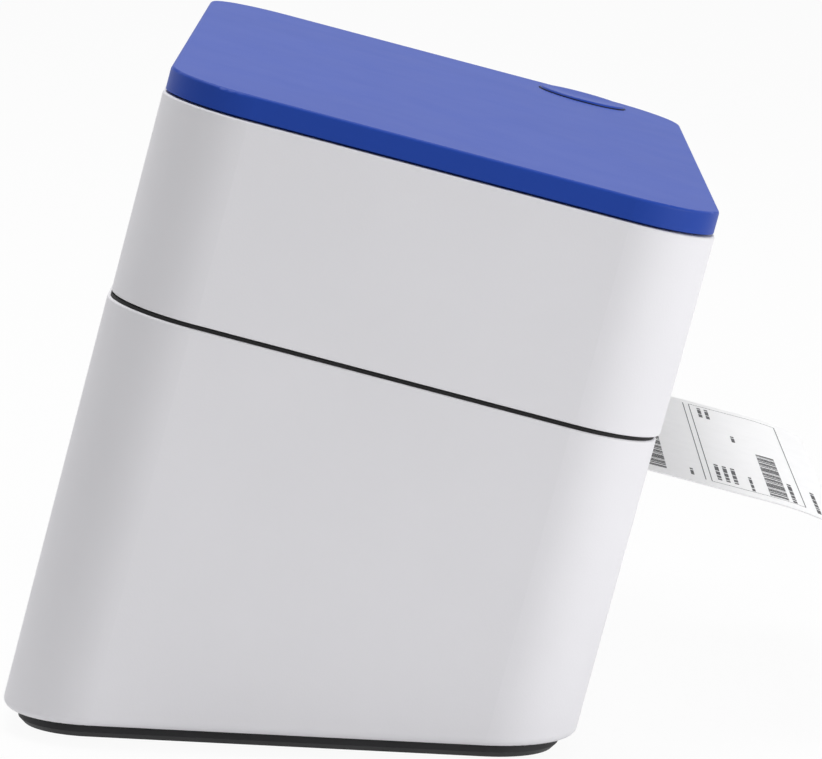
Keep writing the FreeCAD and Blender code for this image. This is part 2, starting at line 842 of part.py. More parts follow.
def make_media_deck():
    body = new_body("media_deck")
    add(body, "XY", deck_under, s.deck_thick, case_outline(s.wall + s.deck_gap))
    rim_out = s.wall + s.rim_inset
    rim_in = rim_out + s.rim_thick
    add(body, "XY", deck_under, rim_top - deck_under, case_outline(rim_out), case_outline(rim_in))
    # Dark lip on top of the case's wall, which shows in the seam, but not at the exit and the hinges
    add(body, "XY", seam_low, s.lip_thick, case_outline(s.lip_in), case_outline(rim_in))
    lip_out = inner_d - s.rim_inset
    exit_half = exit_wide / 2 + s.deck_gap
    remove(body, "XY", seam_low, s.lip_thick, rect(-exit_half, exit_half, -half_d, -lip_out))
    hinge_half = s.hinge_x + 1.5 * s.knuckle_long + 2 * s.knuckle_gap + s.knuckle_clear
    remove(body, "XY", seam_low, s.lip_thick, rect(-hinge_half, hinge_half, lip_out, half_d))
    bay = platen_long / 2 + s.platen_bay
    bay_end = platen_y + s.platen_r + s.platen_bay
    high = rim_top - deck_under
    remove(body, "XY", deck_under, high, rect(-bay, bay, -half_d, bay_end))
    half_feed = feed_wide / 2
    slot = rect(-half_feed, half_feed, deck_top, deck_top + s.feed_slot)
    remove(body, "XZ", -inner_d, rim_in, slot)
    # Slot over the platen gear
    gear_r = s.gear_module * (s.platen_teeth / 2 + s.gear_add) + s.platen_bay
    gear_slot = rect(gear_x - s.platen_bay, gear_end + s.platen_bay, platen_y - gear_r, platen_y + gear_r)
    remove(body, "XY", deck_under, s.deck_thick, gear_slot)
    for side in (-1, 1):
        for end in (-1, 1):
            hole = circle(side * (inner_w - s.ledge_long / 2), end * ledge_y, pass_hole)
            remove(body, "XY", deck_under, s.deck_thick, hole)
        # Slot for the stem of the media guide on this side
        y = s.guide_pinion_y + side * rack_middle()
        inside = side * (stem_x - s.guide_travel - s.hole_gap)
        outside = side * (stem_x + s.stem_long + s.hole_gap)
        half = s.rack_back / 2 + s.hole_gap
        remove(body, "XY", deck_under, s.deck_thick, rect(inside, outside, y - half, y + half))
    sensor = s.sensor_half + s.press_gap
    window = rect(s.sensor_x - sensor, s.sensor_x + sensor, s.sensor_y - sensor, s.sensor_y + sensor)
    remove(body, "XY", deck_under, s.deck_thick, window)
    # Boss that the guides' pinion turns on
    boss = circle(0, s.guide_pinion_y, s.pinion_boss_r)
    add(body, "XY", rack_low - s.slide_gap, deck_under - rack_low + s.slide_gap, boss)
    drill = circle(0, s.guide_pinion_y, screw_hole)
    remove(body, "XY", rack_low - s.slide_gap, deck_under - rack_low + s.slide_gap, drill)
    # Low ribs that the label slides over
    for step in range(int(round(s.rib_count.value))):
        x = (step - (s.rib_count - 1) / 2) * s.rib_pitch
        rib = rect(x - s.rib_wide / 2, x + s.rib_wide / 2, bay_end, s.sensor_y - 2 * s.sensor_half)
        add(body, "XY", deck_top, s.rib_tall, rib)


def rack_middle():
    """Distance from the guides' pinion to the middle of a rack's back."""
    return guide_pitch_r + s.rack_module * s.gear_ded + s.rack_back / 2


def make_side_plates():
    for side, label in ((-1, "left_side_plate"), (1, "right_side_plate")):
        body = new_body(label)
        face = plate_x if side > 0 else -plate_out
        profile = [
            (-plate_front, deck_under),
            (-plate_front, platen_z - s.bush_flange_r),
            (motor_y - s.motor_r, s.plate_low),
            (s.plate_rear, s.plate_low),
            (s.plate_rear, deck_under),
        ]
        add(body, "YZ", face, s.plate_thick, outline(profile))
        # Flange bent inward under the deck
        inward = side * (plate_x - s.flange_wide)
        rear_of_bay = platen_y + s.platen_r + 2 * s.platen_bay
        flange = rect(inward, side * plate_out, rear_of_bay, s.guide_front)
        add(body, "XY", deck_under - s.plate_thick, s.plate_thick, flange)
        holes = [circle(platen_y, platen_z, s.bush_r + s.press_gap)]
        if side > 0:
            holes.append(circle(idler_y, idler_z, s.stud_r + s.press_gap))
            holes.append(circle(motor_y, motor_z, s.pilot_r + s.press_gap))
            for end in (-1, 1):
                holes.append(circle(motor_y + end * s.motor_ear, motor_z, screw_hole))
        for hole in holes:
            remove(body, "YZ", face, s.plate_thick, hole)


def make_platen():
    bushes = []
    for side in (-1, 1):
        flange_x = plate_x - s.bush_flange if side > 0 else -plate_x
        sleeve_x = plate_x if side > 0 else -plate_x - s.bush_long
        flange = rod("x", (flange_x, platen_y, platen_z), s.bush_flange_r, s.bush_flange)
        sleeve = rod("x", (sleeve_x, platen_y, platen_z), s.bush_r, s.bush_long)
        bore_x = sleeve_x - s.bush_flange
        bore_long = s.bush_long + 2 * s.bush_flange
        bore = rod("x", (bore_x, platen_y, platen_z), s.shaft_r + s.run_gap, bore_long)
        bushes.append(cut(fuse(flange, sleeve), bore))
    keep(group(bushes), "platen_bushes")
    left = plate_x + s.bush_long
    shaft = rod("x", (-left, platen_y, platen_z), s.shaft_r, left + gear_end)
    keep(shaft_with_flat_ends(shaft), "platen_shaft")
    start = (-platen_long / 2, platen_y, platen_z)
    rubber = rod("x", start, s.platen_r, platen_long)
    keep(cut(rubber, rod("x", start, s.shaft_r + s.press_gap, platen_long)), "platen_roller")


def shaft_with_flat_ends(shaft):
    """The shaft with small chamfers turned on both ends."""
    doc.recompute()
    turned = doc.addObject("Part::Chamfer", "Turned")
    turned.Base = shaft
    size = s.edge_round.value
    rims = [i + 1 for i, edge in enumerate(shaft.Shape.Edges) if edge.Closed]
    turned.Edges = [(rim, size, size) for rim in rims]
    return turned


def gear_wire(teeth, module, phase, place):
    """The closed outline of an involute gear. place turns a radius and angle into a point."""
    count = int(round(teeth.value))
    pitch = module.value * count / 2
    pressure = math.radians(s.pressure_angle.value)
    base = pitch * math.cos(pressure)
    tip = pitch + module.value * s.gear_add.value
    foot = pitch - module.value * s.gear_ded.value
    low = max(base, foot)
    half = math.pi / (2 * count) - s.backlash.value / (2 * pitch)

    def half_angle(radius):
        turn = math.acos(min(1.0, base / max(radius, base)))
        return half + (math.tan(pressure) - pressure) - (math.tan(turn) - turn)

    radii = [foot, low, (low + pitch) / 2, pitch, (pitch + tip) / 2, tip]
    radii = sorted(set(radii))
    points = []
    for tooth in range(count):
        middle = phase + tooth * 2 * math.pi / count
        points += [place(radius, middle - half_angle(radius)) for radius in radii]
        points += [place(radius, middle + half_angle(radius)) for radius in reversed(radii)]
    return Part.makePolygon(points + points[:1])


def gear_along_x(teeth, phase, y, z, start, length, bore):
    """A spur gear on an axis along X, with its bore."""
    def place(radius, angle):
        return VECTOR(start.value, y.value + radius * math.cos(angle), z.value + radius * math.sin(angle))

    wheel = Part.Face(gear_wire(teeth, s.gear_module, phase, place)).extrude(VECTOR(length.value, 0, 0))
    axis = VECTOR(1, 0, 0)
    centre = VECTOR(start.value, y.value, z.value)
    return wheel.cut(Part.makeCylinder(bore.value, length.value, centre, axis))


def make_gears():
    """Platen gear, compound idler on its stud and motor pinion, in mesh at rest."""
    to_idler = math.radians(s.idler_angle.value)
    to_motor = math.radians(s.motor_angle.value)
    bore = s.shaft_r + s.press_gap
    wheel = gear_along_x(s.platen_teeth, to_idler, platen_y, platen_z, gear_x, s.gear_face, bore)
    keep(shaped(wheel), "platen_gear")
    bore = s.stud_r + s.run_gap
    gap = math.pi / s.idler_small.value
    small_long = s.gear_face + s.gear_gap
    small = gear_along_x(s.idler_small, to_idler + math.pi + gap, idler_y, idler_z, gear_x, small_long, bore)
    big = gear_along_x(s.idler_big, to_motor, idler_y, idler_z, big_gear_x, s.gear_face, bore)
    keep(shaped(small.fuse(big).removeSplitter()), "idler_gear")
    stud = rod("x", (plate_x, idler_y, idler_z), s.stud_r, big_gear_end + s.gear_gap - plate_x)
    clip_x = big_gear_end + s.nip_gap
    clip = rod("x", (clip_x, idler_y, idler_z), s.clip_r, s.clip_thick)
    shoulder_x = plate_out
    shoulder_long = gear_x - s.nip_gap - plate_out
    shoulder = rod("x", (shoulder_x, idler_y, idler_z), s.clip_r, shoulder_long)
    keep(fuse(stud, clip, shoulder), "idler_stud")
    gap = math.pi / s.motor_teeth.value
    solid_bore = s.motor_shaft_r
    turn = to_motor + math.pi + gap
    pinion = gear_along_x(s.motor_teeth, turn, motor_y, motor_z, big_gear_x, s.gear_face, solid_bore)
    shaft_x = plate_x - s.shaft_sunk
    shaft = rod("x", (shaft_x, motor_y, motor_z), s.motor_shaft_r, big_gear_end - shaft_x)
    keep(fuse(shaped(pinion), shaft), "motor_pinion")


def make_motor():
    body = new_body("stepper_motor")
    add(body, "YZ", plate_x - s.motor_long, s.motor_long, circle(motor_y, motor_z, s.motor_r))
    reach = s.motor_ear + s.ear_over
    ears = rect(motor_y - reach, motor_y + reach, motor_z - s.ear_wide / 2, motor_z + s.ear_wide / 2)
    add(body, "YZ", plate_x - s.motor_flange, s.motor_flange, ears)
    add(body, "YZ", plate_x, s.plate_thick, circle(motor_y, motor_z, s.pilot_r))
    bore_x = plate_x - s.shaft_sunk - s.nip_gap
    bore = circle(motor_y, motor_z, s.motor_shaft_r + s.run_gap)
    remove(body, "YZ", bore_x, plate_out - bore_x, bore)
    screws = []
    for end in (-1, 1):
        y = motor_y + end * s.motor_ear
        remove(body, "YZ", plate_x - s.motor_flange, s.motor_flange, circle(y, motor_z, screw_hole))
        screws.append(screw("x", (plate_out, y, motor_z), -1, s.plate_thick + 2 * s.motor_flange))
    keep(group(screws), "motor_screws")


def rack(side):
    """The toothed bar under the deck that one media guide carries, as a solid."""
    module = s.rack_module.value
    pitch = math.pi * module
    flank = math.tan(math.radians(s.pressure_angle.value))
    line = guide_pitch_r.value
    tip = line - module * s.gear_add.value
    foot = line + module * s.gear_ded.value
    back = foot + s.rack_back.value
    half = pitch / 4 - s.backlash.value / 2
    inner = -s.rack_past.value
    outer = (stem_x + s.stem_long).value
    first = math.ceil((inner + pitch / 2) / pitch)
    last = math.floor((outer - s.stem_long.value - pitch) / pitch)
    points = [(outer, back), (inner, back), (inner, foot)]
    for tooth in range(first, last):
        middle = (tooth + 0.5) * pitch
        at_foot = half + (foot - line) * flank
        at_tip = half - (line - tip) * flank
        points += [(middle - at_foot, foot), (middle - at_tip, tip)]
        points += [(middle + at_tip, tip), (middle + at_foot, foot)]
    points.append((outer, foot))
    level = rack_low.value
    centre = s.guide_pinion_y.value
    wire = [VECTOR(side * x, centre + side * y, level) for x, y in points]
    face = Part.Face(Part.makePolygon(wire + wire[:1]))
    return face.extrude(VECTOR(0, 0, s.rack_thick.value))


def ends(side, start, long):
    """Left and right end of a piece on one side of the middle."""
    return (start, start + long) if side > 0 else (-start - long, -start)


def make_guides():
    for side, label in ((-1, "left_guide"), (1, "right_guide")):
        floor = deck_top + s.slide_gap
        sole = floor + s.guide_thick
        left, right = ends(side, guide_x, s.guide_thick)
        fence = block((left, s.guide_front, floor), (right, guide_rear, floor + s.guide_tall))
        left, right = ends(side, guide_x, s.guide_foot)
        foot = block((left, s.guide_front + s.guide_foot, floor), (right, guide_rear - s.guide_thick, sole))
        y = s.guide_pinion_y + side * rack_middle()
        half = s.rack_back / 2
        left, right = ends(side, stem_x, s.stem_long)
        stem = block((left, y - half, rack_low), (right, y + half, sole))
        keep(fuse(fence, foot, stem, shaped(rack(side))), label)

    def around(radius, angle):
        centre_y = s.guide_pinion_y.value
        return VECTOR(radius * math.cos(angle), centre_y + radius * math.sin(angle), rack_low.value)

    wire = gear_wire(s.guide_teeth, s.rack_module, math.pi / 2, around)
    wheel = Part.Face(wire).extrude(VECTOR(0, 0, s.rack_thick.value))
    bore = s.pinion_boss_r + s.run_gap
    centre = VECTOR(0, s.guide_pinion_y.value, rack_low.value)
    wheel = wheel.cut(Part.makeCylinder(bore.value, s.rack_thick.value, centre))
    keep(shaped(wheel), "guide_pinion")
    seat = (0, s.guide_pinion_y, rack_low - s.slide_gap)
    keep(screw("z", seat, 1, s.rack_thick + s.slide_gap), "pinion_screw")


def board_part(x, level, half_x, half_z, tall):
    """A component on the main board's front."""
    low = (x - half_x, board_front - tall, level - half_z)
    return block(low, (x + half_x, board_front, level + half_z))


def make_boards():
    low = (s.board_x - s.board_half, board_front, s.board_low)
    high = (s.board_x + s.board_half, board_rear, s.board_high)
    drills = [rod("y", (x, board_front, z), pass_hole, s.board_thick) for x, z in board_holes()]
    keep(cut(block(low, high), *drills), "main_board")
    # Processor in the middle, memory and motor driver beside it, then two capacitors and the head's plug
    middle = (s.board_low + s.board_high) / 2
    step = s.chip_half + s.part_gap
    pieces = [board_part(s.board_x, middle, s.chip_half, s.chip_half, s.chip_tall)]
    for side in (-1, 1):
        x = s.board_x + side * (step + s.small_chip_half)
        pieces.append(board_part(x, middle, s.small_chip_half, s.small_chip_half, s.chip_tall))
    plug_level = s.board_high - s.board_boss_in
    pieces.append(board_part(s.board_x, plug_level, s.plug_long / 2, s.plug_wide / 2, s.plug_out))
    for place in (1, 3):
        x = s.board_x - step - 2 * s.small_chip_half - s.part_gap - place * (s.can_r + s.part_gap / 4)
        pieces.append(rod("y", (x, board_front - s.can_tall, middle), s.can_r, s.can_tall))
    keep(group(pieces), "board_components")
    low = (key_board_x, key_board_front, key_board_top - s.board_thick)
    keep(block(low, (key_board_end, key_board_rear, key_board_top)), "button_board")
    low = (button_x - s.key_half, button_y - s.key_half, key_board_top)
    high = (button_x + s.key_half, button_y + s.key_half, key_board_top + s.key_tall)
    plunger = rod("z", (button_x, button_y, key_board_top), s.key_r, s.key_tall + s.key_out)
    keep(fuse(block(low, high), plunger), "button_switch")


def make_sockets():
    level = s.socket_level
    # Power socket: a block on the board, a round barrel through the case and a centre pin
    low = (s.power_x - s.power_half, board_rear, level - s.power_tall)
    high = (s.power_x + s.power_half, inner_d - s.press_gap, level + s.power_tall)
    barrel = rod("y", (s.power_x, board_rear, level), s.barrel_r, half_d - board_rear)
    bore = rod("y", (s.power_x, board_rear + s.data_wall, level), s.power_bore, s.depth)
    pin = rod("y", (s.power_x, board_rear, level), s.power_pin, inner_d - board_rear)
    keep(fuse(cut(fuse(block(low, high), barrel), bore), pin), "power_socket")
    # Data socket: a metal shell with an insulating tongue
    low = (s.data_x - s.data_half, board_rear, level - s.data_tall)
    high = (s.data_x + s.data_half, half_d, level + s.data_tall)
    mouth_low = (low[0] + s.data_wall, board_rear + s.data_wall, low[2] + s.data_wall)
    mouth_high = (high[0] - s.data_wall, half_d + s.data_wall, high[2] - s.data_wall)
    tongue_x = s.data_half - 2 * s.data_wall
    tongue_low = (s.data_x - tongue_x, board_rear, level - s.data_tongue)
    tongue_high = (s.data_x + tongue_x, inner_d, level + s.data_tongue)
    shell = cut(block(low, high), block(mouth_low, mouth_high))
    keep(fuse(shell, block(tongue_low, tongue_high)), "data_socket")
    # Power switch: a housing pushed in from behind, with a bezel on the case
    x = s.switch_x
    z = s.switch_level
    wide = s.switch_half
    tall = s.switch_tall
    inside = half_d - s.switch_deep
    shell = block((x - wide, inside, z - tall), (x + wide, half_d, z + tall))
    over = s.bezel_over
    bezel_end = half_d + s.bezel_thick
    bezel = block((x - wide - over, half_d, z - tall - over), (x + wide + over, bezel_end, z + tall + over))
    cave_x = wide - s.switch_wall
    cave_z = tall - s.switch_wall
    cave = block((x - cave_x, inside + s.switch_wall, z - cave_z), (x + cave_x, bezel_end, z + cave_z))
    pivot_y = half_d - s.switch_wall
    pin = rod("x", (x - wide, pivot_y, z), s.pin_r, 2 * wide)
    keep(fuse(cut(fuse(shell, bezel), cave), pin), "switch_housing")
    make_rocker(cave_x - s.rocker_gap, cave_z - s.rocker_gap, pivot_y)


def make_rocker(half_x, half_z, pivot_y):
    """A rocker with two sloping faces that meet at its middle, at rest with its lower end pressed in."""
    body = new_body("power_rocker")
    z = s.switch_level
    slope = sin(s.rocker_lean) / cos(s.rocker_lean)
    end = half_z * cos(s.rocker_lean) - s.rocker_gap
    crest = pivot_y + s.rocker_out
    # Outline at mid travel, leaned about the pivot by the rocker's own lean
    points = []
    for y, up in (
        (pivot_y - s.rocker_out, dim(0)),
        (crest - end * slope - s.switch_wall, -end),
        (crest + end * slope, -end),
        (crest, dim(0)),
        (crest + end * slope, end),
        (crest - end * slope - s.switch_wall, end),
    ):
        out = y - pivot_y
        leaned_y = pivot_y + out * cos(s.rocker_lean) + up * sin(s.rocker_lean)
        leaned_z = z - out * sin(s.rocker_lean) + up * cos(s.rocker_lean)
        points.append((leaned_y, leaned_z))
    add(body, "YZ", s.switch_x - half_x, 2 * half_x, outline(points))
    remove(body, "YZ", s.switch_x - half_x, 2 * half_x, circle(pivot_y, z, s.pin_r + s.run_gap))


def make_sensors():
    half = s.sensor_half
    low = (s.sensor_x - half, s.sensor_y - half, deck_top - s.sensor_tall)
    keep(block(low, (s.sensor_x + half, s.sensor_y + half, deck_top)), "gap_sensor")
    low = (s.sensor_x - half, s.sensor_y - half, frame_under)
    high = (s.sensor_x + half, s.sensor_y + half, frame_under + s.sensor_tall)
    keep(block(low, high), "upper_gap_sensor")
    # Fork on the deck that sees the cover's flag
    out = s.flag_slot / 2 + s.fork_wall
    low = (-flag_x - out, s.flag_y - s.flag_half, deck_top)
    high = (-flag_x + out, s.flag_y + s.flag_half, deck_top + s.fork_tall)
    gap_low = (-flag_x - s.flag_slot / 2, s.flag_y - 2 * s.flag_half, deck_top + s.fork_floor)
    gap_high = (-flag_x + s.flag_slot / 2, s.flag_y + 2 * s.flag_half, deck_top + 2 * s.fork_tall)
    keep(cut(block(low, high), block(gap_low, gap_high)), "cover_sensor")


def make_upper_case():
    body = new_body("upper_case")
    tall = cover_top - seam_high
    add(body, "XY", seam_high, tall, case_outline(0, cover_y), case_outline(s.wall, cover_y))
    for level in (seam_high, cover_top):
        dress(body, "Fillet", "Radius", s.edge_round, level_edge(level, half_w, half_d, cover_y, s.wall / 2))
    add(body, "XY", cover_ceiling, s.top_wall, case_outline(s.wall / 2, cover_y))
    # Tongue that fills the exit notch down to the label slot
    half = exit_wide / 2 - s.tongue_gap
    add(body, "XZ", -cover_front - s.wall, s.wall, rect(-half, half, tongue_end, seam_high + s.wall))
    # Bosses that the cover frame and the button board hang from
    boss_tall = cover_ceiling - frame_top + s.top_wall / 2
    for side in (-1, 1):
        for y in (s.frame_boss_front, frame_boss_rear):
            add(body, "XY", frame_top, boss_tall, circle(side * frame_boss_x, y, s.boss_r))
            hole = circle(side * frame_boss_x, y, screw_hole)
            remove(body, "XY", frame_top, s.screw_long, hole)
    post_y = key_board_rear - s.key_post_in
    post_tall = cover_ceiling - key_board_top + s.top_wall / 2
    for x in (key_board_x + s.key_post_in, key_board_end - s.key_post_in):
        add(body, "XY", key_board_top, post_tall, circle(x, post_y, s.key_post_r))
    hole = circle(button_x, button_y, s.button_r + s.button_gap)
    remove(body, "XY", cover_ceiling, s.top_wall, hole)
    # Hinge knuckles, with room for the case's
    other, own = hinge_spans()
    room = s.knuckle_long + 2 * s.knuckle_gap
    for start in each_hinge(other):
        clear = circle(hinge_y, s.seam_level, s.knuckle_r + s.knuckle_clear)
        remove(body, "YZ", start - s.knuckle_gap, room, clear)
    for start in each_hinge(own):
        add(body, "YZ", start, s.knuckle_long, circle(hinge_y, s.seam_level, s.knuckle_r))
        remove(body, "YZ", start, s.knuckle_long, circle(hinge_y, s.seam_level, s.hinge_pin_r + s.run_gap))


def make_hinge_pins():
    long = 3 * s.knuckle_long + 2 * s.knuckle_gap
    pins = []
    for x in (s.hinge_x, -s.hinge_x):
        pins.append(rod("x", (x - long / 2, hinge_y, s.seam_level), s.hinge_pin_r, long))
    keep(group(pins), "hinge_pins")


def make_top_lid():
    body = new_body("top_lid")
    add(body, "XY", lid_under, s.lid_thick, case_outline(s.lid_inset, cover_y))
    add(body, "XY", cover_top, s.lid_gap, case_outline(s.plinth_inset, cover_y))
    hole = circle(button_x, button_y, s.button_r + s.button_gap)
    remove(body, "XY", cover_top, lid_top - cover_top, hole)
    ring = (half_w - s.lid_inset, half_d - s.lid_inset, cover_y, s.wall / 2)
    dress(body, "Fillet", "Radius", s.lid_round, level_edge(lid_top, *ring))


def make_feed_button():
    """A round cap with a shallow dish on top and a flange that keeps it in the cover."""
    body = doc.addObject("PartDesign::Body", "ButtonBlank")
    top = lid_top + s.button_proud
    add(body, "XY", flange_low, top - flange_low, circle(button_x, button_y, s.button_r))
    flange = circle(button_x, button_y, s.button_r + s.button_flange)
    add(body, "XY", flange_low, s.button_flange_thick, flange)
    dress(body, "Fillet", "Radius", s.edge_round, lambda edge: on_level(edge, top))
    doc.recompute()
    # The dish is a flat sphere's cap sunk into the top
    ball_r = (s.dish_r * s.dish_r / s.button_dish + s.button_dish) / 2
    ball = doc.addObject("Part::Sphere", "Dish")
    bind(ball, "Radius", ball_r)
    for axis, place in zip("xyz", (button_x, button_y, top - s.button_dish + ball_r)):
        bind(ball, "Placement.Base." + axis, place)
    keep(cut(body, ball), "feed_button")


def on_level(edge, level):
    box = edge.BoundBox
    return abs(box.ZMin - level.value) < SMALL and abs(box.ZMax - level.value) < SMALL


def make_cover_frame():
    """The cover's dark lining, with a hood over the print head and a flag for the cover sensor."""
    body = new_body("cover_frame")
    add(body, "XY", frame_under, s.frame_thick, case_outline(s.wall + s.frame_gap, cover_y))
    hood = s.hood_wall
    outer = rect(-bay_half - hood, bay_half + hood, bay_front, bay_rear + hood)
    add(body, "XY", frame_under, hood_top - frame_under, outer)
    inner = rect(-bay_half, bay_half, bay_front - s.corner, bay_rear)
    remove(body, "XY", frame_under, hood_ceiling - frame_under, inner)
    rod_hole = circle(rod_y, rod_z, s.rod_r + s.press_gap)
    remove(body, "YZ", -bay_half - hood, 2 * (bay_half + hood), rod_hole)
    for side in (-1, 1):
        for y in (s.frame_boss_front, frame_boss_rear):
            hole = circle(side * frame_boss_x, y, pass_hole)
            remove(body, "XY", frame_under, s.frame_thick, hole)
    half = s.sensor_half + s.press_gap
    window = rect(s.sensor_x - half, s.sensor_x + half, s.sensor_y - half, s.sensor_y + half)
    remove(body, "XY", frame_under, s.frame_thick, window)
    half = s.flag_thick / 2
    flag_low = deck_top + s.fork_floor + s.fork_wall
    flag = rect(-flag_x - half, -flag_x + half, s.flag_y - s.flag_half, s.flag_y + s.flag_half)
    add(body, "XY", flag_low, frame_under - flag_low + s.frame_thick / 2, flag)


def make_print_head():
    half = head_half
    base = block((-half, head_front, head_under), (half, head_rear, head_top))
    # Raised line of heating dots over the platen
    glaze_low = head_under - s.glaze_out
    glaze_y = platen_y
    glaze = block((-half, glaze_y - s.glaze_half, glaze_low), (half, glaze_y + s.glaze_half, head_under))
    keep(fuse(base, glaze), "print_head")
    # Connector on the rear edge of the head, under the carrier
    plug_low = (-s.plug_half, head_rear, head_top - s.plug_tall)
    keep(block(plug_low, (s.plug_half, head_rear + s.plug_deep, head_top)), "head_connector")


def make_head_carrier():
    """The head's cooling block: a finned plate with a web that rises to the rod."""
    body = new_body("head_carrier")
    profile = [
        (head_front, head_top),
        (carrier_rear, head_top),
        (rod_y + s.web_half, rod_z - s.web_half / 2),
        (rod_y - s.web_half, rod_z + s.web_half / 2),
        (carrier_rear - s.carrier_thick, carrier_top),
        (head_front, carrier_top),
    ]
    add(body, "YZ", -head_half, 2 * head_half, outline(profile))
    add(body, "YZ", -head_half, 2 * head_half, circle(rod_y, rod_z, s.eye_r))
    for index in range(int(round(s.fin_count.value))):
        y = head_front + index * s.fin_pitch
        fin = rect(y, y + s.fin_thick, carrier_top, fin_top)
        add(body, "YZ", -head_half, 2 * head_half, fin)
    for side in (-1, 1):
        x = side * s.spring_x
        seat = circle(x, spring_y, s.spring_room)
        remove(body, "XY", carrier_top, s.fin_tall, seat)
    bore = circle(rod_y, rod_z, s.rod_r + s.run_gap)
    remove(body, "YZ", -head_half, 2 * head_half, bore)
    long = bay_half + s.hood_wall
    keep(rod("x", (-long, rod_y, rod_z), s.rod_r, 2 * long), "head_rod")


def coil_gap(radius, pitch, tall, wire):
    """Least gap of a coil to itself, measured on points along its wire, past half a turn apart."""
    points = []
    for step in range(int(tall / pitch * COIL_STEPS) + 1):
        angle = 2 * math.pi * step / COIL_STEPS
        points.append(VECTOR(radius * math.cos(angle), radius * math.sin(angle), pitch * step / COIL_STEPS))
    apart = COIL_STEPS // 2
    gaps = [(b - a).Length for i, a in enumerate(points) for b in points[i + apart:]]
    return min(gaps) - 2 * wire


def make_head_springs():
    """Two coil springs that press the head carrier down from the hood."""
    wire = s.wire_r.value
    low = carrier_top.value + wire
    tall = hood_ceiling.value - carrier_top.value - 2 * wire
    pitch = tall / s.spring_turns.value
    springs = []
    print("springs' least gap to themselves %.2f mm" % coil_gap(s.spring_r.value, pitch, tall, wire))
    for side in (-1, 1):
        centre = VECTOR(side * s.spring_x.value, spring_y.value, low)
        helix = Part.makeHelix(pitch, tall, s.spring_r.value)
        start = VECTOR(s.spring_r.value, 0, 0)
        # Eight-sided wire, so that the mesh stays light
        corners = [math.radians(45 * step) for step in range(9)]
        ring = [start + VECTOR(wire * math.cos(turn), 0, wire * math.sin(turn)) for turn in corners]
        section = Part.makePolygon(ring)
        coil = Part.Wire(helix).makePipeShell([section], True, True)
        coil.translate(centre)
        springs.append(shaped(coil))
    keep(group(springs), "head_springs")


def make_tear_bar():
    """A steel strip behind the tongue, with a row of teeth along its lower edge."""
    inner = cover_front + s.wall
    tip = tongue_end - s.tear_out
    foot = tip + s.tear_tooth
    top = foot + s.tear_tall
    pitch = s.tear_pitch.value
    count = int(2 * tear_half.value / pitch)
    first = -count * pitch / 2
    points = []
    for tooth in range(count):
        points += [(first + tooth * pitch, foot.value), (first + (tooth + 0.5) * pitch, tip.value)]
    points += [(-first, foot.value), (-first, top.value), (first, top.value)]
    wire = [VECTOR(x, inner.value, z) for x, z in points]
    strip = Part.Face(Part.makePolygon(wire + wire[:1])).extrude(VECTOR(0, s.tear_thick.value, 0))
    keep(shaped(strip), "tear_bar")


def make_label():
    """The label, flat through the nip and curling down at its tip."""
    body = new_body("label_strip")
    reach = label_tip - label_flat
    under = s.label_curl
    over = s.label_curl + s.label_thick
    fall = under - root(under * under - reach * reach)
    fall_over = over - root(over * over - reach * reach)
    points = [
        (-s.label_tail, label_level),
        (-s.label_tail, label_top),
        (-label_flat, label_top),
        (-label_tip, label_top - fall_over),
        (-label_tip, label_level - fall),
        (-label_flat, label_level),
    ]
    arcs = {2: (over, 1), 4: (under, -1)}
    add(body, "YZ", -s.label_wide / 2, s.label_wide, outline(points, arcs))


def check_and_write():
    """Stop on any failed object or shape, then write one file for each sub-part."""
    doc.recompute()
    for thing in doc.Objects:
        if "Invalid" in thing.State or "Error" in thing.State:
            raise RuntimeError("%s (%s) failed: %s" % (thing.Name, thing.Label, thing.State))
    for pocket in CUTS:
        if pocket.Shape.Volume > pocket.BaseFeature.Shape.Volume - SMALL:
            raise RuntimeError("%s misses its body" % pocket.Name)
    for node in NODES:
        if node.Shape.isNull() or not node.Shape.isValid():
            raise RuntimeError(node.Label + " has no valid shape")
    os.makedirs("parts", exist_ok=True)
    for node in NODES:
        node.Shape.exportStep("parts/%s.step" % node.Label)
        print("%-18s %3d solids %10.1f mm3" % (node.Label, len(node.Shape.Solids), node.Shape.Volume))


make_lower_case()
make_base_plate()
make_feet_and_screws()
make_media_deck()
make_side_plates()
make_platen()
make_gears()
make_motor()
make_guides()
make_boards()
make_sockets()
make_sensors()
make_upper_case()
make_hinge_pins()
make_top_lid()
make_feed_button()
make_cover_frame()
make_print_head()
make_head_carrier()
make_head_springs()
make_tear_bar()
make_label()
check_and_write()
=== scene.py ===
import math

import bmesh
import bpy
from mathutils import Matrix, Vector


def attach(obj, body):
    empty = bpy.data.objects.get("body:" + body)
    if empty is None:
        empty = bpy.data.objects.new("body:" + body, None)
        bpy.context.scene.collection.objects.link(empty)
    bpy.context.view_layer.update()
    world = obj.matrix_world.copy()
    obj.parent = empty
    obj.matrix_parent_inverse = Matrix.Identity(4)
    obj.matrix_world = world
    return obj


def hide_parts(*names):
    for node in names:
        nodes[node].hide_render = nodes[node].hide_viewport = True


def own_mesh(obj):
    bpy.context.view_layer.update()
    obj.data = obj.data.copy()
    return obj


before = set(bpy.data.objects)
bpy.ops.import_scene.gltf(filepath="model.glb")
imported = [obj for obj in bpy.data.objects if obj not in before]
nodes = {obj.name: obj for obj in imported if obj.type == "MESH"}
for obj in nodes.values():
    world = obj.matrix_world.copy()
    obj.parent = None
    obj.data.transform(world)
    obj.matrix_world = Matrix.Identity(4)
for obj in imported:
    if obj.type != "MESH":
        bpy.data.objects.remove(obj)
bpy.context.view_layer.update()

# The case leans about the X axis, and the whole printer stands back from the row's origin
LEAN = math.radians(12.0)
BACK = 0.02425
# Label strip: top face, where its curl starts, and the curl's radius
LABEL_TOP = 0.0601
LABEL_FLAT = 0.0760
LABEL_CURL = 0.0602
